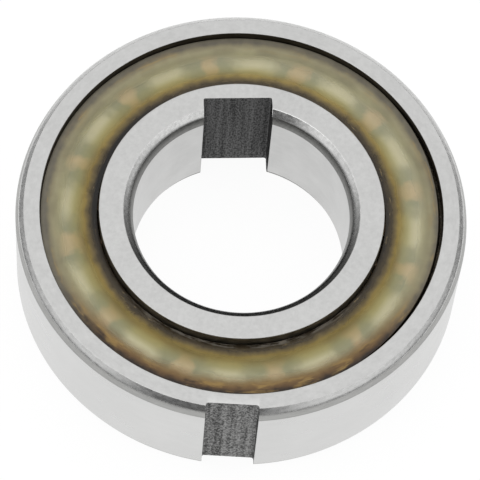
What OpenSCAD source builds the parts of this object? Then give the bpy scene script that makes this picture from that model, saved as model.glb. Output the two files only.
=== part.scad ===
// One-way sprag clutch with its own ball bearing and a keyway in each ring.
// The axis is +Z, and the origin is the middle of the bore.

/* [Rings] */
// Outside diameter of the outer ring
outer_d = 52; // [50:0.5:60]
// Diameter of the bore in the inner ring
bore_d = 25; // [22:0.5:27]
// Width of both rings
width = 15; // [14.6:0.1:20]
// Radial height of the space between the two tracks
track_gap = 5.3; // [5.1:0.05:5.6]
// Distance of the middle of that space inwards from half way between bore and outside
track_inset = 0.15; // [0:0.05:0.3]

/* [Corners] */
// Radial size of the corners at the outside diameter
outer_corner_radial = 0.95; // [0.4:0.05:1.5]
// Axial size of the corners at the outside diameter
outer_corner_axial = 1.39; // [0.6:0.01:2]
// Radial size of the corners at the bore
bore_corner_radial = 1.15; // [0.4:0.05:1.5]
// Axial size of the corners at the bore
bore_corner_axial = 1.65; // [0.6:0.05:2.2]
// Part of a corner's radial size that its flatter facet takes
knee_radial = 0.68; // [0.5:0.01:0.8]
// Part of a corner's axial size that its flatter facet takes
knee_axial = 0.36; // [0.2:0.01:0.5]
// Chamfer on the face edges beside the seals
edge_break = 0.15; // [0.05:0.05:0.3]

/* [Keyways] */
// Width of the keyway in the outer ring
outer_key_w = 6; // [3:0.5:8]
// Depth of the keyway in the outer ring, at its middle
outer_key_depth = 1.5; // [1:0.1:1.8]
// Width of the keyway in the bore
bore_key_w = 8; // [4:0.5:10]
// Depth of the keyway in the bore, at its middle
bore_key_depth = 2; // [1:0.1:2.2]
// Radius in the corners of both keyway floors
key_corner_r = 0.3; // [0.1:0.05:0.4]
// Turn of the inner ring at rest, from a bore keyway at +Y
inner_ring_turn = 4.36; // [-180:0.01:180]

/* [Balls] */
// Number of balls, and of sprags between them
set_count = 12; // [8:1:12]
// Diameter of a ball
ball_d = 5.953; // [5.85:0.001:6.1]
// Radial clearance from a ball to the bottom of each groove
ball_clearance = 0.02; // [0.01:0.005:0.05]
// Radius of the ball grooves over the diameter of a ball
groove_ratio = 0.52; // [0.51:0.005:0.55]
// Turn of the cage at rest, from a first ball at +X
cage_turn = -2; // [-15:0.5:15]

/* [Sprags] */
// Radius of the cam face that meets the outer track
outer_cam_r = 1.35; // [1.2:0.05:1.5]
// Radius of the cam face that meets the inner track
inner_cam_r = 1.25; // [1.1:0.05:1.4]
// Distance by which the two cam centres are out of line, which makes the sprag a wedge
cam_offset = 0.33; // [0.2:0.01:0.45]
// Radius of the hollow on each flank of the waist
waist_r = 0.9; // [0.7:0.05:1.1]
// Clearance from a sprag to each track at rest
sprag_clearance = 0.03; // [0.01:0.005:0.05]
// Angle by which a sprag tips out of grip when the clutch runs free
tilt_angle = 6; // [2:0.5:8]

/* [Cage] */
// Radial thickness of the cage band
cage_t = 0.8; // [0.6:0.05:1]
// Radial clearance from a ball to its pocket
pocket_play = 0.1; // [0.05:0.01:0.2]
// Clearance from a tipped sprag to the sides of its window
window_play = 0.1; // [0.05:0.01:0.2]
// Clearance from a sprag to each end of its window
end_play = 0.1; // [0.05:0.01:0.2]
// Axial width of the cage rims beyond the windows
rim_w = 0.65; // [0.5:0.05:0.8]
// Thickness of the flange round each rim
flange_t = 0.5; // [0.3:0.05:0.6]
// Clearance from the flanges to the outer track
flange_gap = 0.35; // [0.15:0.05:0.6]
// Clearance from the cage to the plane of each seal seat
cage_end_gap = 0.15; // [0.1:0.05:0.3]

/* [Springs] */
// Diameter of the coils of a garter spring
spring_d = 0.8; // [0.6:0.05:0.9]
// Clearance from a spring to its slot in a sprag
spring_play = 0.05; // [0.03:0.01:0.1]
// Radius of the round neck that the spring presses on, about the axis that the sprag tips on
neck_r = 0.9; // [0.8:0.01:1]
// Wall left outside the spring slot at each end of a sprag
slot_lip = 0.35; // [0.3:0.01:0.45]

/* [Seals] */
// Radial width of the step in the outer ring that a seal lies on
seal_step = 1.43; // [1.2:0.01:1.6]
// Radial depth of the groove that a seal snaps into
snap_depth = 0.32; // [0.2:0.01:0.4]
// Axial width of the groove that a seal snaps into
snap_w = 0.5; // [0.4:0.05:0.6]
// Clearance from the bead of a seal to its groove
bead_gap = 0.03; // [0.02:0.01:0.1]
// Depth of a seal below the ring face at its outer edge
seal_recess = 1.05; // [0.8:0.05:1.2]
// Further depth of a seal at its inner edge
seal_dish = 0.25; // [0:0.05:0.3]
// Thickness of a seal at its inner edge
seal_t = 0.6; // [0.6:0.05:0.8]
// Open gap round the outer edge of a seal
seal_outer_gap = 0.08; // [0.05:0.01:0.6]
// Open gap round the inner edge of a seal
seal_inner_gap = 0.15; // [0.15:0.01:0.7]
// Clearance from the lip of a seal to the inner ring
lip_gap = 0.1; // [0.05:0.01:0.14]
// Thickness of the lip at its tip
lip_t = 0.2; // [0.1:0.05:0.3]
// Thickness of the lip where it leaves the seal
lip_root_t = 0.35; // [0.25:0.05:0.45]
// Height of a seal's underside above its seat
seal_lift = 0.1; // [0.05:0.01:0.15]
// Chamfer on the edges of a seal
seal_edge = 0.2; // [0.1:0.01:0.25]
// Chamfer on the edges of its bead
bead_edge = 0.12; // [0.05:0.01:0.15]

/* [Hidden] */
$fn = 180;
cut = 1;
outer_r = outer_d / 2;
bore_r = bore_d / 2;
face_z = width / 2;
pitch_r = (outer_r + bore_r) / 2 - track_inset;
inner_track_r = pitch_r - track_gap / 2;
outer_track_r = pitch_r + track_gap / 2;

ball_r = ball_d / 2;
ball_groove_r = groove_ratio * ball_d;
inner_groove_centre = pitch_r - ball_r - ball_clearance + ball_groove_r;
outer_groove_centre = pitch_r + ball_r + ball_clearance - ball_groove_r;
step_angle = 360 / set_count;

seat_z = face_z - seal_recess - seal_dish - seal_t - seal_lift;
seat_r = outer_track_r + seal_step;

cage_half_w = seat_z - cage_end_gap;
window_half_l = cage_half_w - rim_w;
sprag_half_l = window_half_l - end_play;

outer_cam = [cam_offset / 2, track_gap / 2 - sprag_clearance - outer_cam_r];
inner_cam = [-cam_offset / 2, -(track_gap / 2 - sprag_clearance - inner_cam_r)];
waist_right = touching_centre(outer_cam, outer_cam_r, inner_cam, inner_cam_r, waist_r, 1);
waist_left = touching_centre(outer_cam, outer_cam_r, inner_cam, inner_cam_r, waist_r, -1);
window_half_w = max(
    flank_at(waist_right, cage_t / 2),
    flank_at(waist_right, -cage_t / 2),
    flank_at(waist_left, cage_t / 2),
    flank_at(waist_left, -cage_t / 2)
) + cage_t / 2 * sin(tilt_angle) + window_play;

slot_w = spring_d + 2 * spring_play;
slot_z = sprag_half_l - slot_lip - slot_w / 2;
spring_centre_r = pitch_r + neck_r + spring_play + spring_d / 2;

ball_names = [for (i = [1:set_count]) str("ball_", two_digits(i))];
sprag_names = [for (i = [1:set_count]) str("sprag_", two_digits(i))];

function two_digits(i) = i < 10 ? str("0", i) : str(i);

// Closes the upper half of a ring profile with its mirror image below z = 0
function both_halves(upper) =
    concat(upper, [for (i = [len(upper) - 1:-1:0]) [upper[i][0], -upper[i][1]]]);

// Corner of a ring as two facets, from the face to the cylinder of radius r; side is 1 outside, -1 in a bore
function corner(r, radial, axial, side) = [
    [r - side * radial, face_z],
    [r - side * radial * (1 - knee_radial), face_z - axial * knee_axial],
    [r, face_z - axial]
];

// Centre of the circle of radius f that touches two circles from outside, right (1) or left (-1) of them
function touching_centre(a, ra, b, rb, f, side) =
    let (
        between = b - a,
        d = norm(between),
        along = (d * d + (ra + f) * (ra + f) - (rb + f) * (rb + f)) / (2 * d),
        off = sqrt((ra + f) * (ra + f) - along * along),
        unit = between / d
    )
    a + along * unit + side * off * [-unit[1], unit[0]];

// Distance from the sprag's middle line to its flank at height y on the waist
function flank_at(centre, y) =
    abs(centre[0]) - sqrt(max(0, waist_r * waist_r - (y - centre[1]) * (y - centre[1])));

// Keyway along Z, with its floor at the given height on +Y and rounded floor corners
module keyway(w, floor_y, open_y) {
    near = min(floor_y, open_y);
    inset = sign(open_y - floor_y) * key_corner_r;
    linear_extrude(width + 2 * cut, center = true) {
        translate([-w / 2, min(floor_y + inset, open_y)])
            square([w, abs(open_y - floor_y - inset)]);
        translate([-w / 2 + key_corner_r, near])
            square([w - 2 * key_corner_r, abs(open_y - floor_y)]);
        for (side = [-1, 1])
            translate([side * (w / 2 - key_corner_r), floor_y + inset])
                circle(key_corner_r, $fn = 32);
    }
}

// Outer ring: track with a ball groove, a snap groove for each seal and a keyway at -Y
module outer_ring() {
    upper = concat(
        [
            [outer_track_r, seat_z],
            [seat_r + snap_depth, seat_z],
            [seat_r + snap_depth, seat_z + snap_w - snap_depth / 2],
            [seat_r, seat_z + snap_w],
            [seat_r, face_z - edge_break],
            [seat_r + edge_break, face_z]
        ],
        corner(outer_r, outer_corner_radial, outer_corner_axial, 1)
    );
    color("gainsboro")
        difference() {
            rotate_extrude()
                difference() {
                    polygon(both_halves(upper));
                    translate([outer_groove_centre, 0])
                        circle(ball_groove_r);
                }
            rotate(180)
                keyway(outer_key_w, outer_r - outer_key_depth, outer_r + cut);
        }
}

// Inner ring: plain track with a ball groove, and a keyway in the bore
module inner_ring() {
    upper = concat(
        [[inner_track_r, face_z - edge_break], [inner_track_r - edge_break, face_z]],
        corner(bore_r, bore_corner_radial, bore_corner_axial, -1)
    );
    color("silver")
        rotate(inner_ring_turn)
            difference() {
                rotate_extrude()
                    difference() {
                        polygon(both_halves(upper));
                        translate([inner_groove_centre, 0])
                            circle(ball_groove_r);
                    }
                keyway(bore_key_w, bore_r + bore_key_depth, 0);
            }
}

// Ball number i, which rolls in both grooves
module ball(i) {
    color("lightsteelblue")
        rotate(cage_turn + (i - 1) * step_angle)
            translate([pitch_r, 0, 0])
                sphere(ball_r, $fn = 64);
}

// Outline of a sprag, with the outer track above and the tipping axis at the origin
module sprag_outline() {
    difference() {
        union() {
            translate(outer_cam)
                circle(outer_cam_r);
            translate(inner_cam)
                circle(inner_cam_r);
            polygon([outer_cam, waist_left, inner_cam, waist_right]);
        }
        translate(waist_left)
            circle(waist_r);
        translate(waist_right)
            circle(waist_r);
    }
}

// What a spring slot takes off the outer cam, down to the round neck
module spring_slot_outline() {
    reach = outer_cam_r + cam_offset;
    difference() {
        translate([-reach, 0])
            square([2 * reach, track_gap / 2]);
        circle(neck_r);
    }
}

// Sprag number i, half a step after ball i, as it stands in grip
module sprag(i) {
    color("tan")
        rotate(cage_turn + (i - 0.5) * step_angle - 90)
            translate([0, pitch_r, 0])
                difference() {
                    linear_extrude(2 * sprag_half_l, center = true)
                        sprag_outline();
                    for (end = [-1, 1])
                        translate([0, 0, end * slot_z])
                            linear_extrude(slot_w, center = true)
                                spring_slot_outline();
                }
}

// Cage: a band with round ball pockets and square sprag windows, and a flange round each rim
module cage() {
    band_in = pitch_r - cage_t / 2;
    band_out = pitch_r + cage_t / 2;
    upper = [
        [band_out, cage_half_w - flange_t],
        [outer_track_r - flange_gap, cage_half_w - flange_t],
        [outer_track_r - flange_gap, cage_half_w],
        [band_in, cage_half_w]
    ];
    color("darkkhaki")
        difference() {
            rotate_extrude()
                polygon(both_halves(upper));
            for (i = [1:set_count]) {
                rotate(cage_turn + (i - 1) * step_angle)
                    translate([band_in - cut, 0, 0])
                        rotate([0, 90, 0])
                            cylinder(cage_t + 2 * cut, r = ball_r + pocket_play, $fn = 64);
                rotate(cage_turn + (i - 0.5) * step_angle)
                    translate([pitch_r, 0, 0])
                        cube([cage_t + 2 * cut, 2 * window_half_w, 2 * window_half_l], center = true);
            }
        }
}

// Garter spring round the necks of all the sprags, at one end of them
module garter_spring(side) {
    color("slategray")
        translate([0, 0, side * slot_z])
            rotate_extrude()
                translate([spring_centre_r, 0])
                    circle(spring_d / 2, $fn = 32);
}

// Seal: a dished ring with a bead that snaps into the outer ring and a lip over the inner track
module seal() {
    lip_r = inner_track_r + lip_gap;
    in_r = inner_track_r + seal_inner_gap;
    out_r = seat_r - seal_outer_gap;
    bead_r = seat_r + snap_depth - bead_gap;
    bead_in_r = outer_track_r + bead_gap;
    under_z = seat_z + seal_lift;
    out_z = face_z - seal_recess;
    in_z = out_z - seal_dish;
    bead_top_z = seat_z + snap_w - snap_depth / 2 - bead_gap;
    rotate_extrude()
        polygon([
            [lip_r, under_z],
            [bead_in_r, under_z],
            [bead_in_r, seat_z],
            [bead_r - bead_edge, seat_z],
            [bead_r, seat_z + bead_edge],
            [bead_r, bead_top_z - bead_edge],
            [bead_r - bead_edge, bead_top_z],
            [out_r, bead_top_z],
            [out_r, out_z - seal_edge],
            [out_r - seal_edge, out_z],
            [in_r + seal_edge, in_z],
            [in_r, in_z - seal_edge],
            [in_r, under_z + lip_root_t],
            [lip_r, under_z + lip_t]
        ]);
}

module upper_seal() {
    color("darkolivegreen")
        seal();
}

module lower_seal() {
    color("darkolivegreen")
        mirror([0, 0, 1])
            seal();
}

outer_ring();
inner_ring();
cage();
garter_spring(1);  // upper_garter_spring
garter_spring(-1);  // lower_garter_spring
upper_seal();
lower_seal();
for (i = [1:set_count])
    ball(i);
for (i = [1:set_count])
    sprag(i);
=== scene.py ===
"""Looks of a sealed one-way sprag clutch: keyed rings, cloudy seals, grease, balls, sprags and springs."""

from __future__ import annotations

import logging
import math
from dataclasses import dataclass
from enum import Enum

import bpy
import numpy as np
from mathutils import Matrix, Vector


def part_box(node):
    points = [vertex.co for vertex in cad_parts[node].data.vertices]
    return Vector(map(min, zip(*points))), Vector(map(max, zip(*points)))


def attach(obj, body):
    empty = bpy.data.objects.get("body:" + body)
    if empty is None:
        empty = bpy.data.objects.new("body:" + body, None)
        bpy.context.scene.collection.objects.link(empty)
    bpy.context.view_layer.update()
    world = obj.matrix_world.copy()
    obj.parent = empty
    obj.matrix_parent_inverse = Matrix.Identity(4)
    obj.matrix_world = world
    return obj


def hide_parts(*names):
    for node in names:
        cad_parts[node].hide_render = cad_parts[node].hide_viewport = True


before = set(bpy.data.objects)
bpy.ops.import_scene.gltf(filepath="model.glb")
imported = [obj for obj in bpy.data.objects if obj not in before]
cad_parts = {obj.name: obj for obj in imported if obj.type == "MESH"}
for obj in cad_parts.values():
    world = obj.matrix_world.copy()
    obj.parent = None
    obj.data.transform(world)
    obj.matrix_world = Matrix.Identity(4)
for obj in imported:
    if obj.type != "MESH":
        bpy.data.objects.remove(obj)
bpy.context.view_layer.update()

MM = 0.001
ROUND = 2 * math.pi
# Points that lie closer than this, in millimetres, become one vertex.
WELD = 1e-5
# Distance from the axis, in millimetres, at which the size of a mark round the axis is given.
MARK_RADIUS = 20.0
# Share of a thin line's half width over which the line is full.
LINE_CORE = 0.3
# Greatest share of an edge that a rounded corner takes.
CORNER_SHARE = 0.24
log = logging.getLogger("clutch")

Tree = bpy.types.NodeTree
Socket = bpy.types.NodeSocket
Stops = tuple[tuple[float, str], ...]
Zone = tuple[Socket, float, float]


class Side(Enum):
    """Which side of the clutch a piece is on, as the sign of its height."""

    UPPER = 1
    LOWER = -1


class Opening(Enum):
    """Which way a keyway opens, as the sign of the direction away from the axis."""

    OUTWARDS = 1
    INWARDS = -1


def linear(hex_colour: str) -> tuple[float, float, float, float]:
    """Turns an sRGB hex colour into linear RGBA.

    Args:
        hex_colour: six hex digits, such as "8A8A88".

    Returns:
        Red, green, blue and alpha, each from 0 to 1.
    """
    parts = [int(hex_colour[i : i + 2], 16) / 255 for i in (0, 2, 4)]
    red, green, blue = (p / 12.92 if p <= 0.04045 else ((p + 0.055) / 1.055) ** 2.4 for p in parts)
    return red, green, blue, 1.0


def add_node(
    tree: Tree,
    kind: str,
    inputs: dict[int | str, object] | None = None,
    settings: dict[str, object] | None = None,
    stops: Stops | None = None,
) -> bpy.types.Node:
    """Adds a node, sets it up and links what feeds it.

    Args:
        tree: node tree that gets the node.
        kind: type of the node, without the word ShaderNode.
        inputs: for each input, by name or number, a value or the socket that feeds it.
        settings: properties of the node by name.
        stops: places and sRGB hex colours of a colour ramp.

    Returns:
        The new node.
    """
    node = tree.nodes.new("ShaderNode" + kind)
    for name, value in (settings or {}).items():
        setattr(node, name, value)
    if stops:
        elements = node.color_ramp.elements
        while len(elements) < len(stops):
            elements.new(1.0)
        for element, (place, colour) in zip(elements, stops):
            element.position = place
            element.color = linear(colour)
    for name, value in (inputs or {}).items():
        if isinstance(value, Socket):
            tree.links.new(value, node.inputs[name])
        else:
            node.inputs[name].default_value = value
    return node


def new_material(name: str) -> tuple[bpy.types.Material, Tree, bpy.types.Node]:
    """Makes an empty node material.

    Args:
        name: name of the material.

    Returns:
        The material, its node tree and its output node.
    """
    material = bpy.data.materials.new(name)
    material.use_nodes = True
    tree = material.node_tree
    tree.nodes.clear()
    return material, tree, add_node(tree, "OutputMaterial")


@dataclass
class Polar:
    """The place on a piece as sockets: the point, its distance from the axis, its angle and its height."""

    tree: Tree
    point: Socket
    radius: Socket
    angle: Socket
    height: Socket

    @classmethod
    def on(cls, tree: Tree) -> Polar:
        """Adds the nodes that work the place out from Object coordinates.

        Args:
            tree: node tree of the material.

        Returns:
            The place.
        """
        place = {0: add_node(tree, "TexCoord").outputs["Object"], "Scale": 1 / MM}
        point = add_node(tree, "VectorMath", place, {"operation": "SCALE"}).outputs["Vector"]
        parts = add_node(tree, "SeparateXYZ", {0: point}).outputs
        flat = add_node(tree, "VectorMath", {0: point, 1: (1, 1, 0)}, {"operation": "MULTIPLY"})
        radius = add_node(tree, "VectorMath", {0: flat.outputs[0]}, {"operation": "LENGTH"})
        angle = add_node(tree, "Math", {0: parts["Y"], 1: parts["X"]}, {"operation": "ARCTAN2"})
        return cls(tree, point, radius.outputs["Value"], angle.outputs[0], parts["Z"])

    def towards(self, degrees: float) -> Socket:
        """Measures how far the place lies in one direction from the axis.

        Args:
            degrees: the direction, as an angle round the axis.

        Returns:
            The distance along that direction, in millimetres.
        """
        turn = math.radians(degrees)
        way = {0: self.point, 1: (math.cos(turn), math.sin(turn), 0)}
        return add_node(self.tree, "VectorMath", way, {"operation": "DOT_PRODUCT"}).outputs["Value"]

    def marks(self, size_mm: tuple[float, float, float], detail: float = 2.0) -> Socket:
        """Adds a noise whose marks have a given size.

        Args:
            size_mm: size of a mark round the axis, away from it and along it.
            detail: levels of finer noise on top.

        Returns:
            A socket that runs round 0.5.
        """
        scales = MARK_RADIUS / size_mm[0], 1 / size_mm[1], 1 / size_mm[2]
        parts = {
            i: add_node(self.tree, "Math", {0: measure, 1: scale}, {"operation": "MULTIPLY"}).outputs[0]
            for i, (measure, scale) in enumerate(zip((self.angle, self.radius, self.height), scales))
        }
        where = add_node(self.tree, "CombineXYZ", parts).outputs[0]
        noise = {"Vector": where, "Scale": 0.6, "Detail": detail, "Roughness": 0.6}
        return add_node(self.tree, "TexNoise", noise).outputs["Fac"]

    def wavered(self, measure: Socket, wave: Socket, reach: float) -> Socket:
        """Shifts a measure to and fro by a noise.

        Args:
            measure: what is shifted.
            wave: a noise from 0 to 1.
            reach: shift where the noise is 1. Where it is 0, the shift is as far the other way.

        Returns:
            The shifted measure.
        """
        shift = add_node(self.tree, "MapRange", {"Value": wave, "To Min": -reach, "To Max": reach})
        return add_node(self.tree, "Math", {0: measure, 1: shift.outputs[0]}, {"operation": "ADD"}).outputs[0]

    def line(self, radius: Socket, middle: float, half: float) -> Zone:
        """Marks out a thin line round the axis, by how far a place is from its middle.

        Args:
            radius: distance from the axis, in millimetres.
            middle: distance of the line from the axis.
            half: half its width.

        Returns:
            The zone of the line.
        """
        off = add_node(self.tree, "Math", {0: radius, 1: middle}, {"operation": "SUBTRACT"}).outputs[0]
        far = add_node(self.tree, "Math", {0: off}, {"operation": "ABSOLUTE"}).outputs[0]
        return far, half, half * LINE_CORE


@dataclass
class Coat:
    """Colour that is laid on in layers, each only inside its zones."""

    tree: Tree
    colour: Socket | tuple[float, float, float, float]

    def lay(self, over: str | Socket, strength: float | Socket, *zones: Zone) -> None:
        """Lays a colour over those below.

        Its share is the strength times s^2 (3 - 2 s) for each zone, where s goes from 0 to 1 as the zone's
        measure goes from the value at which the zone begins to the value at which it is full.

        Args:
            over: the colour, as sRGB hex or as a socket.
            strength: share of the colour where every zone is full.
            zones: each as its measure, the value at which it begins and the value at which it is full.
        """
        share = strength
        for measure, begin, full in zones:
            step = {"Value": measure, "From Min": begin, "From Max": full, "To Max": share}
            share = add_node(self.tree, "MapRange", step, {"interpolation_type": "SMOOTHSTEP"}).outputs[0]
        high = linear(over) if isinstance(over, str) else over
        layers = {"Factor": share, 6: self.colour, 7: high}
        self.colour = add_node(self.tree, "Mix", layers, {"data_type": "RGBA"}).outputs[2]


@dataclass(frozen=True)
class Steel:
    """Bearing steel as ground, turned, milled or polished.

    Bare hardened steel is a neutral grey metal. Grinding leaves a satin face with marks too fine to see one
    by one, turning leaves a rougher band that sparkles, and milling leaves dark scores along the cut. The
    marks here are drawn as coarse as they need to be to show.

    Attributes:
        colour: colour between the marks.
        dark: colour in the marks.
        mark_mm: size of a mark round the axis, away from it and along it.
        contrast: how strongly the marks show, from 0 to 1.
        bump_mm: depth of the marks.
        cloud: strength of wide faint clouds over the marks, from 0 to 1.
        cloud_mm: size of a cloud round the axis, away from it and along it.
        darkened: middle of the half turn that is drawn darker as painted shade, in degrees, and its colour.
        spread: how far the noise of the marks runs to each side of 0.5 at full contrast.
        rough_spread: how far the roughness changes with the marks, to each side.
        bump_strength: strength of the marks' bump, from 0 to 1.
        darkened_from: cosine of the angle from that middle at which the darker colour begins.
        darkened_to: cosine at which it is full.
        darkened_share: its share there.
    """

    name: str
    colour: str
    dark: str
    roughness: float
    mark_mm: tuple[float, float, float]
    contrast: float
    bump_mm: float = 0.002
    cloud: float = 0.25
    cloud_mm: tuple[float, float, float] = (2.7, 2.7, 2.7)
    darkened: tuple[float, str] | None = None
    spread: float = 0.08
    rough_spread: float = 0.08
    bump_strength: float = 0.6
    darkened_from: float = -0.25
    darkened_to: float = 0.5
    darkened_share: float = 0.85

    def build(self) -> bpy.types.Material:
        """Makes the material.

        Returns:
            The material.
        """
        material, tree, out = new_material(self.name)
        polar = Polar.on(tree)
        marks, clouds = polar.marks(self.mark_mm), polar.marks(self.cloud_mm)
        both = {"Factor": self.cloud, 2: marks, 3: clouds}
        noise = add_node(tree, "Mix", both, {"data_type": "FLOAT"}).outputs[0]
        reach = self.spread / self.contrast
        between = {"Value": noise, "From Min": 0.5 - reach, "From Max": 0.5 + reach}
        coat = Coat(tree, linear(self.dark))
        coat.lay(self.colour, add_node(tree, "MapRange", between).outputs[0])
        # Painted shade: a half turn is drawn darker, standing in for the dark that the steel mirrors there.
        if self.darkened:
            middle, darker = self.darkened
            off = add_node(tree, "Math", {0: polar.angle, 1: math.radians(middle)}, {"operation": "SUBTRACT"})
            toward = add_node(tree, "Math", {0: off.outputs[0]}, {"operation": "COSINE"}).outputs[0]
            cover = {
                "Value": toward,
                "From Min": self.darkened_from,
                "From Max": self.darkened_to,
                "To Max": self.darkened_share,
            }
            coat.lay(darker, add_node(tree, "MapRange", cover).outputs[0])
        low, high = self.roughness - self.rough_spread, self.roughness + self.rough_spread
        rough = add_node(tree, "MapRange", {"Value": marks, "To Min": low, "To Max": high}).outputs[0]
        relief = {"Height": marks, "Strength": self.bump_strength, "Distance": self.bump_mm * MM}
        bump = add_node(tree, "Bump", relief).outputs[0]
        finish = {"Base Color": coat.colour, "Metallic": 1.0, "Roughness": rough, "Normal": bump}
        shader = add_node(tree, "BsdfPrincipled", finish)
        tree.links.new(shader.outputs[0], out.inputs["Surface"])
        return material


class Finish(Enum):
    """Finishes of the steel pieces."""

    # Ground faces are pale and satin, with a grain too fine to follow.
    FACE = Steel("ground_bearing_steel_face", "D2D2D1", "C3C3C2", 0.42, (0.35, 0.3, 1.0), 0.4)
    # Ground and honed walls are smooth, with faint streaks round the axis.
    WALL = Steel("ground_bearing_steel_wall", "DCDCDB", "CCCCCB", 0.30, (2.2, 1.0, 0.6), 0.22, 0.001, 0.5)
    BORE_WALL = Steel("honed_bearing_steel_bore", "D4D4D3", "BCBCBB", 0.32, (2.0, 1.0, 0.6), 0.25, 0.001, 0.5)
    # Turned corners sparkle. Each has a flat bright facet and a steep one that is duller.
    FLAT_FACET = Steel(
        "turned_bearing_steel_flat_facet", "E4E4E3", "BEBEBD", 0.28, (0.3, 0.2, 0.2), 0.35, 0.005
    )
    STEEP_FACET = Steel(
        "turned_bearing_steel_steep_facet", "B8B8B6", "A2A2A0", 0.40, (0.8, 0.2, 0.2), 0.35, 0.004
    )
    # The half turn of the bore facet about 272 degrees is drawn darker: painted shade for the dark it mirrors.
    BORE_FACET = Steel(
        "bore_facet_steel_with_painted_shade", "E8E8E7", "BCBCBB", 0.26, (0.35, 0.2, 0.2), 0.4, 0.006,
        darkened=(272.0, "6E6E6C"),
    )
    # The steep bore facet is drawn darker than the outer ring's steep facet: painted shade inside the bore.
    BORE_STEEP = Steel(
        "bore_steep_facet_steel_painted_shade", "90908E", "747472", 0.40, (0.5, 0.2, 0.2), 0.4, 0.005
    )
    # Milled keyways are rough and streaked along the cut.
    OUTER_KEYWAY = Steel(
        "milled_steel_outer_keyway", "9C9C9B", "282827", 0.50, (0.1, 9.0, 0.16), 0.8, 0.012, 0.35,
        (0.3, 9.0, 9.0),
    )
    BORE_KEYWAY = Steel(
        "milled_steel_bore_keyway", "686868", "101010", 0.52, (0.16, 9.0, 0.24), 0.8, 0.010, 0.3,
        (0.45, 9.0, 9.0),
    )
    # Beside the seals the steel of the recesses is drawn dark brown-grey as painted shade, lighter on the inner
    # ring's land.
    SHADED_RECESS = Steel("recess_steel_painted_shade", "5C564C", "37332C", 0.45, (1.6, 1.0, 0.4), 0.5)
    SHADED_LAND = Steel("land_steel_painted_shade", "A09888", "6A6456", 0.45, (1.2, 1.0, 0.4), 0.6)
    # Honed tracks are nearly mirrors.
    TRACK = Steel("honed_bearing_steel_track", "B8B6B0", "A5A39C", 0.18, (5.0, 1.0, 0.2), 0.3)


def eased(
    corners: np.ndarray, finishes: np.ndarray, radii: np.ndarray, steps: int = 2, gentle_deg: float = 0.0
) -> tuple[np.ndarray, np.ndarray]:
    """Rounds the corners of a closed outline.

    Each corner P becomes the curve (1 - t)^2 A + 2 t (1 - t) P + t^2 B, where A and B lie the corner's
    radius back along its two edges. A point twice as far back on each edge keeps the flat stretch between
    two corners flat. At a corner that turns less than the gentle angle all these points share its place.

    Args:
        corners: corners as rows of radius and height.
        finishes: number of the finish of the edge that starts at each corner.
        radii: radius of each corner, 0 for a sharp one.
        steps: number of short edges along each curve, an even number.
        gentle_deg: turn below which a corner stays as it is.

    Returns:
        The points of the finer outline, and the number of the finish of the edge that starts at each of them.
    """
    before, after = np.roll(corners, 1, axis=0) - corners, np.roll(corners, -1, axis=0) - corners
    length_before, length_after = np.linalg.norm(before, axis=1), np.linalg.norm(after, axis=1)
    straight = -np.einsum("ij,ij->i", before, after) / (length_before * length_after)
    radii = np.where(straight > math.cos(math.radians(gentle_deg)), 0.0, radii) if gentle_deg else radii
    reach_before = (np.minimum(radii, CORNER_SHARE * length_before) / length_before)[:, None]
    reach_after = (np.minimum(radii, CORNER_SHARE * length_after) / length_after)[:, None]
    start, end = corners + before * reach_before, corners + after * reach_after
    t = np.linspace(0, 1, steps + 1)[None, :, None]
    curve = (1 - t) ** 2 * start[:, None] + 2 * t * (1 - t) * corners[:, None] + t**2 * end[:, None]
    hold_before = corners + 2 * before * reach_before
    hold_after = corners + 2 * after * reach_after
    points = np.concatenate([hold_before[:, None], curve, hold_after[:, None]], axis=1)
    incoming, outgoing = np.roll(finishes, 1)[:, None], finishes[:, None]
    tags = np.concatenate(
        [np.repeat(incoming, steps // 2 + 1, axis=1), np.repeat(outgoing, steps // 2 + 2, axis=1)], axis=1
    )
    return points.reshape(-1, 2), tags.reshape(-1)


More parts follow.
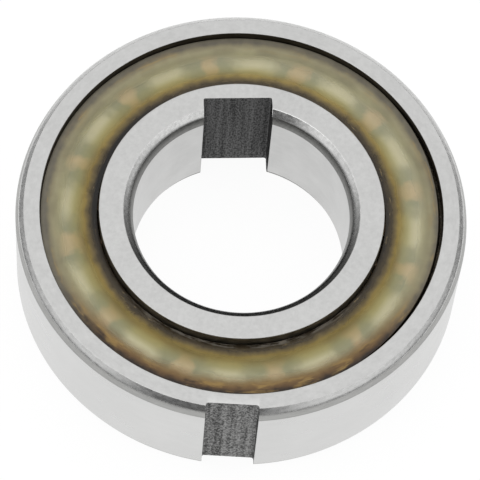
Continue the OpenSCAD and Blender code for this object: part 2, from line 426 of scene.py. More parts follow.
@dataclass
class Shell:
    """A surface as arrays: vertices in mm, faces as lists of vertex numbers, and a material number each."""

    vertices: np.ndarray
    faces: list[list[int]]
    numbers: list[int]

    @classmethod
    def woven(cls, grid: np.ndarray, numbers: np.ndarray | None = None, closed_across: bool = True) -> Shell:
        """Joins a grid of points by quads.

        Points that share a place become one vertex. A quad that this turns into a line is left out, and one
        that it turns into a triangle is kept as a triangle. All faces are turned over if they enclose a
        negative volume.

        Args:
            grid: points by column, row and coordinate. The columns close into a ring.
            numbers: material number of the quad from each column and row, or None where all are 0.
            closed_across: whether the last row joins the first.

        Returns:
            The surface.
        """
        columns, rows = grid.shape[:2]
        numbers = np.zeros((columns, rows), dtype=int) if numbers is None else numbers
        keys = np.round(grid.reshape(-1, 3) / WELD).astype(np.int64)
        _, first, where = np.unique(keys, axis=0, return_index=True, return_inverse=True)
        vertices, index = grid.reshape(-1, 3)[first], where.reshape(columns, rows)
        if not closed_across:
            rows -= 1
        right, up = np.roll(index, -1, axis=0), np.roll(index, -1, axis=1)
        quads = np.stack([index, right, np.roll(right, -1, axis=1), up], axis=-1)[:, :rows].reshape(-1, 4)
        number = numbers[:, :rows].reshape(-1)
        kept = quads != np.roll(quads, 1, axis=1)
        kept &= ~((quads[:, [2, 3, 0, 1]] == quads) & (np.arange(4) > 1)[None, :])
        corners = kept.sum(axis=1)
        full, three = corners == 4, corners == 3
        triangles = quads[three][kept[three]].reshape(-1, 3)
        halves = np.concatenate([quads[full][:, [0, 1, 2]], quads[full][:, [0, 2, 3]], triangles])
        a, b, c = (vertices[halves[:, i]] for i in range(3))
        if np.einsum("ij,ij->", a, np.cross(b, c)) < 0:
            quads, triangles = quads[:, ::-1], triangles[:, ::-1]
        faces = quads[full].tolist() + triangles.tolist()
        return cls(vertices, faces, number[full].tolist() + number[three].tolist())

    def make(self, name: str, materials: list[bpy.types.Material]) -> bpy.types.Object:
        """Makes a smooth-shaded object of the surface, at the origin.

        Args:
            name: name of the object.
            materials: materials in the order of the material numbers.

        Returns:
            The object.
        """
        mesh = bpy.data.meshes.new(name)
        mesh.from_pydata((self.vertices * MM).tolist(), [], self.faces)
        for material in materials:
            mesh.materials.append(material)
        mesh.polygons.foreach_set("material_index", self.numbers)
        mesh.polygons.foreach_set("use_smooth", [True] * len(self.faces))
        mesh.update()
        made = bpy.data.objects.new(name, mesh)
        bpy.context.scene.collection.objects.link(made)
        return made


@dataclass
class Keyway:
    """A keyway along the axis, seen from the end, in millimetres. Its floor is a height from the axis."""

    half_width: float
    floor: float
    corner: float
    opening: Opening
    turn_deg: float
    score_depth: float = 0.012
    score_pitch: float = 0.62
    second_pitch: float = 0.37
    second_share: float = 0.6

    def floor_at(self, across: np.ndarray) -> np.ndarray:
        """Height of the keyway's outline above the axis.

        It is the flat floor with the scores of the cutter in it, two sines of unlike pitch, and a quarter
        circle into each wall.

        Args:
            across: distances from the keyway's middle plane.

        Returns:
            The heights.
        """
        past = np.clip(np.abs(across) - (self.half_width - self.corner), 0, self.corner)
        rise = self.corner - np.sqrt(self.corner**2 - past**2)
        first = np.sin(ROUND * across / self.score_pitch)
        second = self.second_share * np.sin(ROUND * across / (self.second_pitch * self.score_pitch))
        wave = (first + second) / (1 + self.second_share)
        scores = np.where(past > 0, 0, self.score_depth / 2 * (wave - 1))
        return self.floor + self.opening.value * (rise + scores)

    @property
    def wall_radius(self) -> float:
        """Distance from the axis to the line where a wall meets the corner of the floor."""
        return math.hypot(self.half_width, self.floor + self.opening.value * self.corner)


@dataclass
class KeyedRing:
    """A ring with one keyway, as a profile turned round the axis. Sizes are in millimetres."""

    name: str
    body: str
    node: str
    keyway: Keyway
    columns: int = 300
    keyway_columns: int = 97
    gentle_deg: float = 22.0
    crowding: float = 0.72
    keyway_crowding: float = 0.25
    blend_deg: float = 14.0
    edge_round: float = 0.06
    knee_round: float = 0.3
    bevel_deg: float = 50.0
    normal_weight: int = 80

    def corners(self) -> list[tuple[float, float, Finish]]:
        """Upper half of the profile: radius, height, and the finish of the edge that starts there."""
        raise NotImplementedError

    def outline(self) -> tuple[np.ndarray, np.ndarray, list[Finish]]:
        """Closes the profile with its mirror image below the middle and rounds its corners.

        Returns:
            The points, the finish number of the edge from each, and the finishes in the order of the numbers.
        """
        upper = self.corners()
        finishes = list(dict.fromkeys(finish for _, _, finish in upper))
        points = np.array([(r, z) for r, z, _ in upper])
        tags = np.array([finishes.index(finish) for _, _, finish in upper])
        mirrored = points[::-1] * [1, -1]
        mirrored_tags = np.append(tags[:-1][::-1], tags[-1])
        radii = np.full(len(points), self.edge_round)
        radii[-2] = self.knee_round
        return *eased(
            np.concatenate([points, mirrored]),
            np.concatenate([tags, mirrored_tags]),
            np.concatenate([radii, radii[::-1]]),
            gentle_deg=self.gentle_deg,
        ), finishes

    def grid(self, profile: np.ndarray) -> np.ndarray:
        """Carries the profile round the axis and cuts the keyway into it.

        Away from the keyway a column of points lies at one angle. The column a share u of the way along the
        count lies a share u - crowding * sin(2 pi u) / (2 pi) of the way round, so they crowd beside the
        keyway. There the angle of each point shifts by the difference between asin(half width / its radius)
        and asin(half width / the wall's radius), faded out over the blend angle, so that the first column
        lies in the plane of the wall. Inside the keyway a column lies at one distance from the middle
        plane, and what would stand past the outline of the keyway is moved back to it.

        Args:
            profile: points of the profile as rows of radius and height.

        Returns:
            Points by column, row and coordinate.
        """
        key = self.keyway
        radius, height = profile[:, 0], profile[:, 1]
        edge = math.asin(key.half_width / key.wall_radius)
        u = np.linspace(0, 1, self.columns)[:, None]
        angle = edge + (ROUND - 2 * edge) * (u - self.crowding * np.sin(ROUND * u) / ROUND)
        to_edge = np.minimum(angle, ROUND - angle) - edge
        fade = np.clip(1 - to_edge / math.radians(self.blend_deg), 0, 1)
        side = np.where(angle < math.pi, 1, -1)
        shifted = angle + side * fade * (np.arcsin(key.half_width / radius)[None, :] - edge)
        around = np.stack([radius * np.sin(shifted), radius * np.cos(shifted)], axis=-1)
        u = np.linspace(-1, 1, self.keyway_columns)[:, None]
        crowded, even = self.keyway_crowding, 1 - self.keyway_crowding
        across = key.half_width * np.sin(u * math.pi / 2) * crowded + key.half_width * u * even
        reach = np.sqrt(radius[None, :] ** 2 - across**2)
        floor = key.floor_at(across)
        inside = np.minimum(reach, floor) if key.opening is Opening.OUTWARDS else np.maximum(reach, floor)
        notch = np.stack([np.broadcast_to(across, inside.shape), inside], axis=-1)
        flat = np.concatenate([notch, around])
        turn = math.radians(key.turn_deg)
        x = flat[..., 0] * math.cos(turn) - flat[..., 1] * math.sin(turn)
        y = flat[..., 0] * math.sin(turn) + flat[..., 1] * math.cos(turn)
        return np.stack([x, y, np.broadcast_to(height, x.shape)], axis=-1)

    def build(self) -> bpy.types.Object:
        """Builds and dresses the ring.

        Returns:
            The finished piece.
        """
        profile, tags, finishes = self.outline()
        grid = self.grid(profile)
        numbers = np.tile(tags, (len(grid), 1))
        key_tag = len(finishes)
        reach = np.hypot(grid[..., 0], grid[..., 1])
        moved = np.abs(reach - profile[None, :, 0]) > WELD
        cut = moved | np.roll(moved, -1, axis=1)
        notch = np.zeros(len(grid), dtype=bool)
        notch[: self.keyway_columns] = True
        notch[-1] = True
        cut_quads = (cut | np.roll(cut, -1, axis=0)) & notch[:, None]
        flat_face = np.abs(np.abs(profile[:, 1]) - profile[:, 1].max()) < WELD
        flat_quads = (flat_face & np.roll(flat_face, -1))[None, :]
        numbers = np.where(cut_quads & ~flat_quads, key_tag, numbers)
        materials = [finish.value.build() for finish in finishes] + [self.keyway_finish().value.build()]
        ring = Shell.woven(grid, numbers).make(self.name, materials)
        bevel = ring.modifiers.new("edges", "BEVEL")
        bevel.width = self.edge_round * MM
        bevel.segments = 2
        bevel.limit_method = "ANGLE"
        bevel.angle_limit = math.radians(self.bevel_deg)
        weighted = ring.modifiers.new("normals", "WEIGHTED_NORMAL")
        weighted.weight = self.normal_weight
        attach(ring, self.body)
        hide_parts(self.node)
        log.info("%s: %d faces, profile of %d points", self.name, len(ring.data.polygons), len(profile))
        return ring

    def keyway_finish(self) -> Finish:
        """Finish of the keyway."""
        raise NotImplementedError


@dataclass
class Sizes:
    """Sizes that several pieces share, in millimetres, measured on the fixed frame where it shows them."""

    face: float
    outer: float
    bore: float = 12.5
    pitch: float = 19.1
    track_gap: float = 5.3
    ball: float = 2.9765
    groove: float = 3.0956
    ball_play: float = 0.02
    seat: float = 5.5
    seat_radius: float = 23.18
    snap: float = 0.32
    snap_width: float = 0.5
    knee_radial: float = 0.68
    knee_axial: float = 0.36
    break_edge: float = 0.07
    outer_key_depth: float = 1.5
    bore_key_depth: float = 2.0
    cage_turn_deg: float = -2.0
    count: int = 12

    @classmethod
    def from_frame(cls) -> Sizes:
        """Reads the outer size and the height of the faces off the outer ring."""
        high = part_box("outer_ring")[1]
        return cls(face=high.z / MM, outer=high.y / MM)

    def groove_arc(self, side: int, points: int = 25) -> np.ndarray:
        """Upper half of the arc of a ball groove, from the track down to the middle.

        The arc is a circle about a centre that lies the groove's radius less the ball's and the play from
        the pitch circle, and it ends where it meets the track.

        Args:
            side: 1 for the groove in the outer ring, -1 for the one in the inner ring.
            points: number of points.

        Returns:
            Rows of radius and height.
        """
        centre = self.pitch + side * (self.ball + self.ball_play - self.groove)
        track = self.pitch + side * self.track_gap / 2
        top = math.acos((track - centre) * side / self.groove)
        angle = np.linspace(top, 0, points)
        return np.stack([centre + side * self.groove * np.cos(angle), self.groove * np.sin(angle)], axis=-1)


@dataclass(kw_only=True)
class OuterRing(KeyedRing):
    """Outer ring: its track, the recess and snap groove for each seal, and two-facet corners."""

    sizes: Sizes
    corner_radial: float = 0.95
    corner_axial: float = 1.39

    def corners(self) -> list[tuple[float, float, Finish]]:
        """Upper half of the profile: radius, height, and the finish of the edge that starts there."""
        s = self.sizes
        knee = s.outer - self.corner_radial * (1 - s.knee_radial), s.face - self.corner_axial * s.knee_axial
        arc = s.groove_arc(1)[::-1]
        return [
            *((float(r), float(z), Finish.TRACK) for r, z in arc[1:]),
            (s.pitch + s.track_gap / 2, s.seat, Finish.SHADED_RECESS),
            (s.seat_radius + s.snap, s.seat, Finish.SHADED_RECESS),
            (s.seat_radius + s.snap, s.seat + s.snap_width - s.snap / 2, Finish.SHADED_RECESS),
            (s.seat_radius, s.seat + s.snap_width, Finish.SHADED_RECESS),
            (s.seat_radius, s.face - s.break_edge, Finish.SHADED_RECESS),
            (s.seat_radius + s.break_edge / 2, s.face - s.break_edge / 2, Finish.FACE),
            (s.seat_radius + s.break_edge, s.face, Finish.FACE),
            (self.keyway.wall_radius, s.face, Finish.FACE),
            (s.outer - self.corner_radial, s.face, Finish.FLAT_FACET),
            (*knee, Finish.STEEP_FACET),
            (s.outer, s.face - self.corner_axial, Finish.WALL),
        ]

    def keyway_finish(self) -> Finish:
        """Finish of the keyway."""
        return Finish.OUTER_KEYWAY


@dataclass(kw_only=True)
class InnerRing(KeyedRing):
    """Inner ring: its track, two-facet corners at the bore and a keyway in the bore."""

    sizes: Sizes
    corner_radial: float = 1.15
    corner_axial: float = 1.65

    def corners(self) -> list[tuple[float, float, Finish]]:
        """Upper half of the profile: radius, height, and the finish of the edge that starts there."""
        s = self.sizes
        track = s.pitch - s.track_gap / 2
        knee = s.bore + self.corner_radial * (1 - s.knee_radial), s.face - self.corner_axial * s.knee_axial
        arc = s.groove_arc(-1)[::-1]
        return [
            *((float(r), float(z), Finish.TRACK) for r, z in arc[1:]),
            (track, s.seat, Finish.SHADED_LAND),
            (track, s.face - s.break_edge, Finish.SHADED_LAND),
            (track - s.break_edge / 2, s.face - s.break_edge / 2, Finish.FACE),
            (track - s.break_edge, s.face, Finish.FACE),
            (self.keyway.wall_radius, s.face, Finish.FACE),
            (s.bore + self.corner_radial, s.face, Finish.BORE_FACET),
            (*knee, Finish.BORE_STEEP),
            (s.bore, s.face - self.corner_axial, Finish.BORE_WALL),
        ]

    def keyway_finish(self) -> Finish:
        """Finish of the keyway."""
        return Finish.BORE_KEYWAY


@dataclass(frozen=True)
class SealRubber:
    """Cloudy olive rubber, moulded smooth, thin enough in the middle to let the grease show.

    Its two edges are solid and drawn dark, as painted shade. A brown stain with black specks lies in front,
    a paler patch at the back, and painted shade darkens the lip on one side. The outer edge has a painted
    highlight along it, with a gold thread and golden patches beside it, and painted shade where it stands
    back from its seat. Small painted glints lie beside the inner edge, and grey ones on the lip in front.
    Only the top face is drawn solid: the underside is clear, so that one film of colour lies over the
    grease and not two.

    Attributes:
        body: colours from the inner edge to the outer one, dark at both edges as painted shade.
        brown: colours of the stain, likewise.
        cover: how solid the rubber is, likewise, as greys.
        low_mm: distance from the axis at which these begin.
        high_mm: distance at which they end.
        underside_mm: height below which the rubber is clear.
        underside_fade_mm: height over which it turns solid.
        roughness: roughness away from the lip.
        lip_roughness: roughness of the lip, which is wet.
        lip_mm: distances from the axis at which the lip ends and the rest begins.
        stain_deg: direction of the stain, as an angle round the axis.
        stain_mm: how far in that direction the stain begins, and is full.
        patch_shares: share of the golden patches away from the stain, and in it.
        pale_deg: direction of the paler patch.
        lip_shade_deg: direction of the painted shade on the lip.
    """

    name: str = "olive_rubber_stain_and_painted_light"
    # The colours darken to both edges as painted shade.
    body: Stops = (
        (0.04, "2B2318"), (0.135, "4D422D"), (0.19, "7C6C45"), (0.24, "A48E4C"),
        (0.38, "B8AD70"), (0.54, "BEB68A"), (0.6, "BBB489"), (0.7, "A69F7D"),
        (0.8, "90886C"), (0.87, "706A5D"), (0.95, "3E3831"),
    )
    brown: Stops = (
        (0.56, "B8AF82"), (0.62, "A2946B"), (0.7, "8A7248"),
        (0.76, "7A5F38"), (0.81, "664C2D"), (0.88, "2A1E15"),
    )
    cover: Stops = (
        (0.1, "FAFAFA"), (0.2, "DCDCDC"), (0.31, "A4A4A4"), (0.55, "A4A4A4"),
        (0.63, "C0C0C0"), (0.7, "E6E6E6"), (0.76, "FFFFFF"),
    )
    low_mm: float = 16.5
    high_mm: float = 23.5
    underside_mm: float = 5.95
    underside_fade_mm: float = 0.05
    roughness: float = 0.40
    lip_roughness: float = 0.22
    lip_mm: tuple[float, float] = (17.2, 18.0)
    stain_deg: float = 272.0
    stain_mm: tuple[float, float] = (7.0, 17.0)
    patch_shares: tuple[float, float] = (0.2, 0.65)
    pale_deg: float = 45.0
    lip_shade_deg: float = 160.0

    def build(self) -> bpy.types.Material:
        """Makes the material.

        Returns:
            The material.
        """
        material, tree, out = new_material(self.name)
        polar = Polar.on(tree)
        radius = polar.radius
        across = {"From Min": self.low_mm, "From Max": self.high_mm}
        wave = add_node(tree, "TexNoise", {"Vector": polar.point, "Scale": 0.8, "Detail": 4.0}).outputs["Fac"]
        calm = add_node(tree, "TexNoise", {"Vector": polar.point, "Scale": 0.35, "Detail": 0.0}).outputs["Fac"]
        bent, strolled = polar.wavered(radius, wave, 0.42), polar.wavered(radius, calm, 0.45)
        share = add_node(tree, "MapRange", {"Value": bent, **across}).outputs[0]
        level = add_node(tree, "MapRange", {"Value": strolled, **across}).outputs[0]
        body = add_node(tree, "ValToRGB", {0: share}, stops=self.body).outputs["Color"]
        brown = add_node(tree, "ValToRGB", {0: share}, stops=self.brown).outputs["Color"]
        cover = add_node(tree, "ValToRGB", {0: level}, stops=self.cover).outputs["Color"]
        height = add_node(tree, "Math", {0: polar.height}, {"operation": "ABSOLUTE"}).outputs[0]
        speckle = polar.marks((1.6, 0.5, 5.0), 4.0)
        amber = polar.marks((2.0, 0.55, 5.0), 4.0)
        fine = polar.marks((1.2, 0.16, 5.0), 3.0)
        smooth = {"interpolation_type": "SMOOTHSTEP"}
        top_face = {
            "Value": height,
            "From Min": self.underside_mm,
            "From Max": self.underside_mm + self.underside_fade_mm,
            "To Max": cover,
        }
        solid = add_node(tree, "MapRange", top_face, smooth).outputs[0]
        front = (polar.towards(self.stain_deg), *self.stain_mm)
        patches = {
            "Value": front[0],
            "From Min": front[1],
            "From Max": front[2],
            "To Min": self.patch_shares[0],
            "To Max": self.patch_shares[1],
        }
        coat = Coat(tree, body)
        # The paler patch.
        coat.lay("DCD6B4", 0.45, (polar.towards(self.pale_deg), 2.0, 16.0), polar.line(strolled, 19.9, 1.6))
        # Painted highlight along the outer edge.
        coat.lay("B8B29C", 0.3, (radius, 22.4, 22.95))
        # The brown stain and its black specks.
        coat.lay(brown, 1.0, front, (share, 0.56, 0.6))
        coat.lay("221812", 0.85, front, (bent, 21.4, 22.4), (speckle, 0.54, 0.66))
        # The gold thread, and golden patches along it.
        coat.lay("AF9560", 0.4, polar.line(strolled, 22.3, 0.12), (amber, 0.52, 0.62))
        golden = add_node(tree, "MapRange", patches, smooth).outputs[0]
        coat.lay("B09050", golden, polar.line(bent, 22.1, 0.9), (amber, 0.48, 0.68))
        # Painted highlights: grey glints on the lip in front, and small bright glints beside the lip.
        coat.lay("8C877E", 0.7, front, polar.line(radius, 16.75, 0.45), (fine, 0.42, 0.62))
        coat.lay("C0A878", 0.5, polar.line(bent, 17.1, 0.45), (fine, 0.6, 0.72), (calm, 0.38, 0.55))
        # Painted shade on the lip on one side.
        coat.lay("0C0907", 0.95, (polar.towards(self.lip_shade_deg), 12.0, 16.5), polar.line(radius, 16.9, 0.5))
        # Painted shade: the rim's side is drawn dark where it stands back from its seat.
        coat.lay("100D0A", 0.95, (height, 6.34, 6.2), (radius, 22.2, 22.5))
        lip = {
            "Value": bent,
            "From Min": self.lip_mm[0],
            "From Max": self.lip_mm[1],
            "To Min": self.lip_roughness,
            "To Max": self.roughness,
        }
        finish = {
            "Base Color": coat.colour,
            "Roughness": add_node(tree, "MapRange", lip).outputs[0],
            "Specular IOR Level": 0.38,
            "Normal": add_node(
                tree, "Bump", {"Height": speckle, "Strength": 0.25, "Distance": 0.03 * MM}
            ).outputs[0],
        }
        shader = add_node(tree, "BsdfPrincipled", finish)
        through = add_node(tree, "BsdfTransparent")
        mixed = add_node(tree, "MixShader", {0: solid, 1: through.outputs[0], 2: shader.outputs[0]})
        tree.links.new(mixed.outputs[0], out.inputs["Surface"])
        return material


@dataclass
class Seal:
    """A dished rubber ring with a bead that snaps into the outer ring and a lip over the inner one, in mm."""

    side: Side
    sizes: Sizes
    lip_gap: float = 0.1
    inner_gap: float = 0.15
    outer_gap: float = 0.05
    bead_gap: float = 0.03
    recess: float = 1.05
    dish: float = 0.25
    lift: float = 0.1
    lip_root: float = 0.35
    lip_tip: float = 0.2
    crown: float = 0.08
    columns: int = 360
    face_points: int = 9
    edge_round: float = 0.06
    under_round: float = 0.05
    round_steps: int = 6
    back_deg: float = -15.0
    back: float = 0.42
    back_from: float = 11.0
    back_to: float = 22.5
    back_radius: float = 22.2
    back_fade: float = 0.8
    back_height: float = 5.85
    back_rise: float = 0.15

    def stood_back(self, angle: np.ndarray, r: np.ndarray, z: np.ndarray) -> np.ndarray:
        """Draws the rim of the top face inwards on one side, where the seal doesn't reach its seat.

        The rim moves by the greatest distance times how far its place lies in that direction, from 0 at one
        distance to 1 at another. The move grows over the fade outwards from its radius, and over the rise
        upwards from its height.

        Args:
            angle: angles of the columns.
            r: distances of the profile's points from the axis.
            z: their heights.

        Returns:
            The distances by column and point.
        """
        reach = self.sizes.seat_radius * np.cos(angle - math.radians(self.back_deg))
        move = self.back * np.clip((reach - self.back_from) / (self.back_to - self.back_from), 0, 1)
        outwards = np.clip((r - self.back_radius) / self.back_fade, 0, 1)
        return r - move * outwards * np.clip((z - self.back_height) / self.back_rise, 0, 1)

    def corners(self) -> np.ndarray:
        """Corners of the profile, with the top face drawn as a shallow parabola.

        Returns:
            Rows of radius and height.
        """
        s = self.sizes
        lip = s.pitch - s.track_gap / 2 + self.lip_gap
        inner = lip - self.lip_gap + self.inner_gap
        outer = s.seat_radius - self.outer_gap
        bead = s.seat_radius + s.snap - self.bead_gap
        step = s.pitch + s.track_gap / 2 + self.bead_gap
        under, top = s.seat + self.lift, s.face - self.recess
        bead_top = s.seat + s.snap_width - s.snap / 2 - self.bead_gap
        share = np.linspace(0, 1, self.face_points)
        bowl = top - self.dish * share + 4 * self.crown * share * (1 - share)
        face = np.stack([outer + (inner - outer) * share, bowl], axis=-1)
        below = [(inner, under + self.lip_root), (lip, under + self.lip_tip), (lip, under), (step, under)]
        beside = [(step, s.seat), (bead, s.seat), (bead, bead_top), (outer, bead_top)]
        return np.concatenate([face, below, beside])

    def build(self) -> bpy.types.Object:
        """Builds and dresses the seal.

        Returns:
            The finished piece.
        """
        corners = self.corners()
        last = self.face_points - 1
        radii = np.full(len(corners), self.under_round)
        radii[[0, last]] = self.edge_round
        radii[1:last] = 0
        profile, _ = eased(corners, np.zeros(len(corners), dtype=int), radii, steps=self.round_steps)
        angle = np.linspace(0, ROUND, self.columns, endpoint=False)[:, None]
        r, z = profile[:, 0][None, :], profile[:, 1][None, :]
        r, z = self.stood_back(angle, r, z), np.broadcast_to(z, (self.columns, len(profile)))
        grid = np.stack([r * np.cos(angle), r * np.sin(angle), self.side.value * z], axis=-1)
        name = f"{self.side.name.lower()}_seal"
        seal = Shell.woven(grid).make(f"{name}_rubber", [SealRubber().build()])
        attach(seal, "outer_ring")
        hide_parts(name)
        log.info("%s: %d faces", name, len(seal.data.polygons))
        return seal


@dataclass(frozen=True)
class Grease:
    """Old lithium grease, sage, drawn pale over each ball and tan over each sprag: painted reflections of them.

    It is soft and wet, so it takes a dull sheen, and its colour drifts between cream, tan and sage.

    Attributes:
        gap: colours between a ball and a sprag, from the inner edge to the outer one.
        ball: colours of the painted reflection over a ball, likewise.
        sprag: colours of the painted reflection over a sprag, likewise.
        inner_mm: distance from the axis at which these begin.
        outer_mm: distance at which they end.
        drift: how far the spots waver round the axis, in radians times their number.
    """

    name: str = "lithium_grease_with_painted_reflections"
    count: int = 12
    turn_deg: float = -2.0
    gap: Stops = (
        (0.0, "2A2218"), (0.2, "7C6430"), (0.4, "929474"), (0.6, "9CA28A"), (0.8, "AEAE98"), (0.94, "A09E82"),
    )
    ball: Stops = (
        (0.0, "3A2F1E"), (0.2, "A8924E"), (0.4, "BCB57E"), (0.54, "EEE8C4"),
        (0.6, "F8F2D0"), (0.7, "FAF4D2"), (0.78, "DAD5B0"), (0.88, "AEA988"),
    )
    sprag: Stops = (
        (0.0, "2A2016"), (0.2, "6A5428"), (0.42, "CBAE80"), (0.6, "F0D2AA"), (0.84, "F2CEA4"), (0.94, "D2B484"),
    )
    inner_mm: float = 17.2
    outer_mm: float = 22.2
    drift: float = 0.8
    roughness: float = 0.55

    def build(self) -> bpy.types.Material:
        """Makes the material.

        The cosine of the angle times the number of balls is 1 over a ball and -1 over a sprag.

        Returns:
            The material.
        """
        material, tree, out = new_material(self.name)
        polar = Polar.on(tree)
        wave = add_node(tree, "TexNoise", {"Vector": polar.point, "Scale": 0.6, "Detail": 2.5}).outputs["Fac"]
        turns = {0: polar.angle, 1: float(self.count), 2: -self.count * math.radians(self.turn_deg)}
        turned = add_node(tree, "Math", turns, {"operation": "MULTIPLY_ADD"}).outputs[0]
        shifted = polar.wavered(turned, wave, self.drift)
        beat = add_node(tree, "Math", {0: shifted}, {"operation": "COSINE"}).outputs[0]
        across = {"Value": polar.radius, "From Min": self.inner_mm, "From Max": self.outer_mm}
        share = add_node(tree, "MapRange", across).outputs[0]
        gap, ball, sprag = (
            add_node(tree, "ValToRGB", {0: share}, stops=stops).outputs["Color"]
            for stops in (self.gap, self.ball, self.sprag)
        )
        coat = Coat(tree, gap)
        # Painted reflections of the balls and sprags under the film.
        coat.lay(ball, 1.0, (beat, -0.45, 1.0))
        coat.lay(sprag, 1.0, (beat, -0.64, -1.07))
        shader = add_node(tree, "BsdfPrincipled", {"Base Color": coat.colour, "Roughness": self.roughness})
        tree.links.new(shader.outputs[0], out.inputs["Surface"])
        return material


@dataclass
class GreaseFilm:
    """The grease between a seal and the cage: a thin ring, thicker over each ball. Sizes are in mm."""

    side: Side
    sizes: Sizes
    inner: float = 17.0
    outer: float = 21.7
    low: float = 5.4
    thin: float = 0.06
    shoulder: float = 0.3
    swell: float = 0.05
    columns: int = 480
    rows: int = 24

    def build(self) -> bpy.types.Object:
        """Builds and dresses the film.

        With s the share of the way across, its top stands at low + thin * sin(pi s)^shoulder
        + swell * (1 + cos(count * angle)) / 2 * sin(pi s), and its underside is flat.

        Returns:
            The finished piece.
        """
        angle = np.linspace(0, ROUND, self.columns, endpoint=False)[:, None]
        share = np.linspace(0, 1, self.rows)[None, :]
        radius = self.inner + (self.outer - self.inner) * share
        beat = np.cos(self.sizes.count * (angle - math.radians(self.sizes.cage_turn_deg)))
        arch = np.sin(math.pi * share)
        top = self.low + self.thin * arch**self.shoulder + self.swell * (1 + beat) / 2 * arch
        top[:, [0, -1]] = self.low
        under = np.full_like(top, self.low)
        radii = np.concatenate([radius, radius[:, ::-1]], axis=1)
        heights = np.concatenate([top, under[:, ::-1]], axis=1)
        grid = np.stack([radii * np.cos(angle), radii * np.sin(angle), self.side.value * heights], axis=-1)
        name = f"{self.side.name.lower()}_grease_film"
        film = Shell.woven(grid).make(name, [Grease().build()])
        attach(film, "cage")
        log.info("%s: %d faces", name, len(film.data.polygons))
        return film


@dataclass
class GarterSpring:
    """A close-wound coil bent into a ring round the necks of the sprags. Sizes are in millimetres."""

    side: Side
    turns: int = 640
    wire: float = 0.08
    steps: int = 12
    wire_sides: int = 6

    def build(self) -> bpy.types.Object:
        """Builds and dresses the spring.

        The wire's middle line is (R + c cos(n a)) along the radius at angle a and c sin(n a) upwards, where
        R is the ring's radius, c the coil's and n the number of turns. The wire is a tube about that line.

        Returns:
            The finished piece.
        """
        node = f"{self.side.name.lower()}_garter_spring"
        low, high = (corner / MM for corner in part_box(node))
        coil = (high.z - low.z) / 2
        ring, middle, wind = high.y - coil, (high.z + low.z) / 2, coil - self.wire
        angle = np.linspace(0, ROUND, self.turns * self.steps, endpoint=False)
        inner = self.turns * angle
        zero = np.zeros_like(angle)
        out = np.stack([np.cos(angle), np.sin(angle), zero], axis=-1)
        up = np.array([0.0, 0.0, 1.0])
        away = np.cos(inner)[:, None] * out + np.sin(inner)[:, None] * up
        line = ring * out + wind * away + middle * up
        along = np.roll(line, -1, axis=0) - np.roll(line, 1, axis=0)
        along /= np.linalg.norm(along, axis=1, keepdims=True)
        beside = np.cross(along, away)
        beside /= np.linalg.norm(beside, axis=1, keepdims=True)
        square = np.cross(beside, along)
        turn = np.linspace(0, ROUND, self.wire_sides, endpoint=False)[None, :, None]
        grid = line[:, None] + self.wire * (np.cos(turn) * square[:, None] + np.sin(turn) * beside[:, None])
        # Drawn wire is bright with a fine grain.
        steel = Steel("drawn_spring_steel", "A8A7A2", "77756F", 0.3, (0.5, 0.5, 0.5), 0.4)
        spring = Shell.woven(grid).make(f"{node}_coil", [steel.build()])
        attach(spring, "cage")
        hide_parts(node)
        log.info("%s: %d faces", node, len(spring.data.polygons))
        return spring


@dataclass
class BallSet:
    """The balls, each a sphere in its own pocket. Sizes are in millimetres."""

    sizes: Sizes
    around: int = 64
    down: int = 32

    def build(self) -> list[bpy.types.Object]:
        """Builds and dresses the balls.

        A ball is R (cos u sin v, sin u sin v, cos v) about the middle of its solid, with u from 0 to a full
        turn and v from 0 to half a turn.

        Returns:
            The finished pieces.
        """
        # Lapped balls are mirrors with hardly a mark.
        steel = Steel("lapped_ball_steel", "D9D9D8", "CFCFCE", 0.12, (1.5, 1.5, 1.5), 0.2, 0.0005).build()
        u = np.linspace(0, ROUND, self.around, endpoint=False)[:, None]
        v = np.linspace(0, math.pi, self.down + 1)[None, :]
        upright = np.broadcast_to(np.cos(v), (self.around, self.down + 1))
        unit = np.stack([np.cos(u) * np.sin(v), np.sin(u) * np.sin(v), upright], axis=-1)
        pieces = []
        for i in range(1, self.sizes.count + 1):
            node = f"ball_{i:02d}"
            low, high = (np.array(corner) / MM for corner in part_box(node))
            ball = Shell.woven((low + high) / 2 + self.sizes.ball * unit, closed_across=False)
            piece = ball.make(f"{node}_lapped", [steel])
            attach(piece, node)
            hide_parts(node)
            pieces.append(piece)
        log.info("balls: %d", len(pieces))
        return pieces


@dataclass
class Cage:
    """The pressed cage and the sprags in it, which keep their own solids."""

    sizes: Sizes

    def dress(self) -> None:
        """Gives the cage and the sprags their finishes."""
        # Phosphate leaves pressed steel dull and brown, and tumbling leaves the sprags soft and warm.
        cage = Steel("phosphated_pressed_steel", "6B6045", "463F2E", 0.55, (0.6, 0.6, 0.6), 0.5, 0.004)
        sprag = Steel("tumbled_sprag_steel", "C2A183", "A08468", 0.3, (0.4, 0.4, 2.0), 0.4, 0.002)
        finishes = {"cage": cage.build()}
        steel = sprag.build()
        finishes.update({f"sprag_{i:02d}": steel for i in range(1, self.sizes.count + 1)})
        for node, material in finishes.items():
            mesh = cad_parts[node].data
            mesh.materials.clear()
            mesh.materials.append(material)
        log.info("cage and sprags: %d pieces dressed", len(finishes))


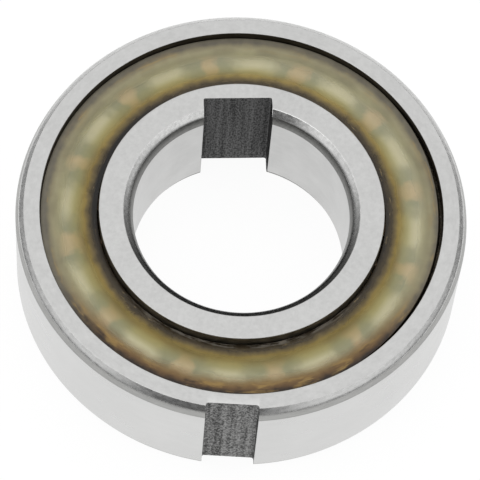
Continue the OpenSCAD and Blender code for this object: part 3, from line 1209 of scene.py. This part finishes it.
@dataclass
class Studio:
    """White floor, soft sky and the camera, standing where the photograph was taken from.

    Attributes:
        sky_levels: brightness of the sky, from the horizon to overhead.
        disc_azimuth_deg: direction of the middle of a dark disc in the sky, from the camera's turn.
        disc_elevation_deg: its height above the horizon.
        disc_deg: half its width where it begins, and where it is full.
        disc_level: brightness in it, as a share of the sky's.
        glow: strength of the floor's own light.
        glow_share: its share in what the camera and the steel see of the floor.
        lamp_m: width of the lamp.
        lamp_watts: power of the lamp.
        lamp_place_m: place of the lamp.
    """

    sizes: Sizes
    distance_mm: float = 399.9
    elevation_deg: float = 63.404
    roll_deg: float = 5.548
    turn_deg: float = -2.54
    shift_right_mm: float = -0.235
    shift_up_mm: float = -3.574
    lens: float = 261.24
    sensor: float = 36.0
    clip_m: tuple[float, float] = (0.01, 20.0)
    sky_levels: Stops = ((0.0, "767676"), (0.1, "767676"), (0.26, "9C9C9C"), (0.42, "E6E6E6"), (0.5, "FFFFFF"))
    disc_azimuth_deg: float = -97.0
    disc_elevation_deg: float = 39.0
    disc_deg: tuple[float, float] = (32.0, 22.0)
    disc_level: float = 0.12
    floor_mm: float = 3000.0
    floor_gap_mm: float = 0.02
    glow: float = 1.04
    glow_share: float = 0.9
    lamp_m: float = 0.9
    lamp_watts: float = 2.0
    lamp_place_m: tuple[float, float, float] = (-0.3, -0.25, 1.4)

    def camera(self) -> None:
        """Places the camera: back along its own axis from the middle of the upper face, then sideways."""
        elevation, roll = math.radians(self.elevation_deg), math.radians(self.roll_deg)
        back = Vector((0, -math.cos(elevation), math.sin(elevation)))
        level = Vector((1, 0, 0))
        upright = back.cross(level)
        right = math.cos(roll) * level + math.sin(roll) * upright
        up = math.cos(roll) * upright - math.sin(roll) * level
        place = self.distance_mm * back + self.shift_right_mm * right + self.shift_up_mm * up
        turn = Matrix.Rotation(math.radians(self.turn_deg), 3, "Z")
        data = bpy.data.cameras.new("camera")
        data.lens, data.sensor_width = self.lens, self.sensor
        data.clip_start, data.clip_end = self.clip_m
        camera = bpy.data.objects.new("camera", data)
        bpy.context.scene.collection.objects.link(camera)
        axes = Matrix([turn @ right, turn @ up, turn @ back]).transposed()
        lifted = (turn @ place + Vector((0, 0, self.sizes.face))) * MM
        camera.matrix_world = Matrix.Translation(lifted) @ axes.to_4x4()
        bpy.context.scene.camera = camera

    def sky(self) -> None:
        """Lights the scene: bright overhead, dimmer at the horizon, with a dark disc low in front."""
        world = bpy.data.worlds.new("sky")
        bpy.context.scene.world = world
        world.use_nodes = True
        tree = world.node_tree
        tree.nodes.clear()
        way = add_node(tree, "TexCoord").outputs["Generated"]
        height = add_node(tree, "SeparateXYZ", {0: way}).outputs["Z"]
        level = add_node(tree, "ValToRGB", {0: height}, stops=self.sky_levels).outputs["Color"]
        azimuth = math.radians(self.turn_deg + self.disc_azimuth_deg)
        lean = math.radians(self.disc_elevation_deg)
        centre = (math.cos(azimuth) * math.cos(lean), math.sin(azimuth) * math.cos(lean), math.sin(lean))
        near = add_node(tree, "VectorMath", {0: way, 1: centre}, {"operation": "DOT_PRODUCT"}).outputs["Value"]
        begin, full = (math.cos(math.radians(width)) for width in self.disc_deg)
        disc = {"Value": near, "From Min": begin, "From Max": full, "To Min": 1.0, "To Max": self.disc_level}
        shade = add_node(tree, "MapRange", disc, {"interpolation_type": "SMOOTHSTEP"}).outputs[0]
        lit = add_node(tree, "Math", {0: level, 1: shade}, {"operation": "MULTIPLY"}).outputs[0]
        seen = add_node(tree, "LightPath").outputs["Is Camera Ray"]
        strength = add_node(tree, "Mix", {"Factor": seen, 2: lit, 3: 1.0}, {"data_type": "FLOAT"}).outputs[0]
        background = add_node(tree, "Background", {"Color": linear("FFFFFF"), "Strength": strength})
        out = add_node(tree, "OutputWorld")
        tree.links.new(background.outputs[0], out.inputs["Surface"])

    def floor(self) -> None:
        """Lays a white floor that keeps a faint shadow, and shows white to the camera and in the steel."""
        material, tree, out = new_material("white_floor")
        path = add_node(tree, "LightPath").outputs
        either = path["Is Camera Ray"]
        for kind in ("Is Glossy Ray", "Is Transmission Ray"):
            either = add_node(tree, "Math", {0: either, 1: path[kind]}, {"operation": "MAXIMUM"}).outputs[0]
        share = add_node(tree, "Math", {0: either, 1: self.glow_share}, {"operation": "MULTIPLY"}).outputs[0]
        matt = add_node(tree, "BsdfDiffuse", {"Color": linear("F2F2F2")})
        glow = add_node(tree, "Emission", {"Color": linear("FFFFFF"), "Strength": self.glow})
        mixed = add_node(tree, "MixShader", {0: share, 1: matt.outputs[0], 2: glow.outputs[0]})
        tree.links.new(mixed.outputs[0], out.inputs["Surface"])
        half, low = self.floor_mm / 2, -self.sizes.face - self.floor_gap_mm
        corners = np.array([(-half, -half, low), (half, -half, low), (half, half, low), (-half, half, low)])
        plane = Shell(corners, [[0, 1, 2, 3]], [0]).make("floor", [material])

    def lamp(self) -> None:
        """Hangs one soft lamp high up, outside what the faces and the corners mirror to the camera."""
        data = bpy.data.lights.new("softbox", "AREA")
        data.shape, data.size = "DISK", self.lamp_m
        data.energy = self.lamp_watts
        lamp = bpy.data.objects.new("softbox", data)
        bpy.context.scene.collection.objects.link(lamp)
        place = Vector(self.lamp_place_m)
        lamp.matrix_world = Matrix.Translation(place) @ place.to_track_quat("Z", "Y").to_matrix().to_4x4()

    def build(self) -> None:
        """Builds the studio."""
        self.camera()
        self.sky()
        self.floor()
        self.lamp()
        bpy.context.scene.view_settings.view_transform = "Standard"
        log.info("studio: camera %.0f mm away", self.distance_mm)


def main() -> None:
    """Builds the clutch, piece by piece, and the studio round it."""
    logging.basicConfig(level=logging.INFO, format="%(name)s: %(message)s")
    sizes = Sizes.from_frame()
    outer_floor, bore_floor = sizes.outer - sizes.outer_key_depth, sizes.bore + sizes.bore_key_depth
    outer_key = Keyway(3.0, outer_floor, corner=0.3, opening=Opening.OUTWARDS, turn_deg=180.0)
    bore_key = Keyway(4.0, bore_floor, corner=0.2, opening=Opening.INWARDS, turn_deg=4.36)
    OuterRing("outer_ring_ground", "outer_ring", "outer_ring", outer_key, sizes=sizes).build()
    InnerRing("inner_ring_ground", "inner_ring", "inner_ring", bore_key, sizes=sizes).build()
    for side in Side:
        Seal(side, sizes).build()
        GreaseFilm(side, sizes).build()
        GarterSpring(side).build()
    BallSet(sizes).build()
    Cage(sizes).dress()
    Studio(sizes).build()


if __name__ == "__main__":
    main()
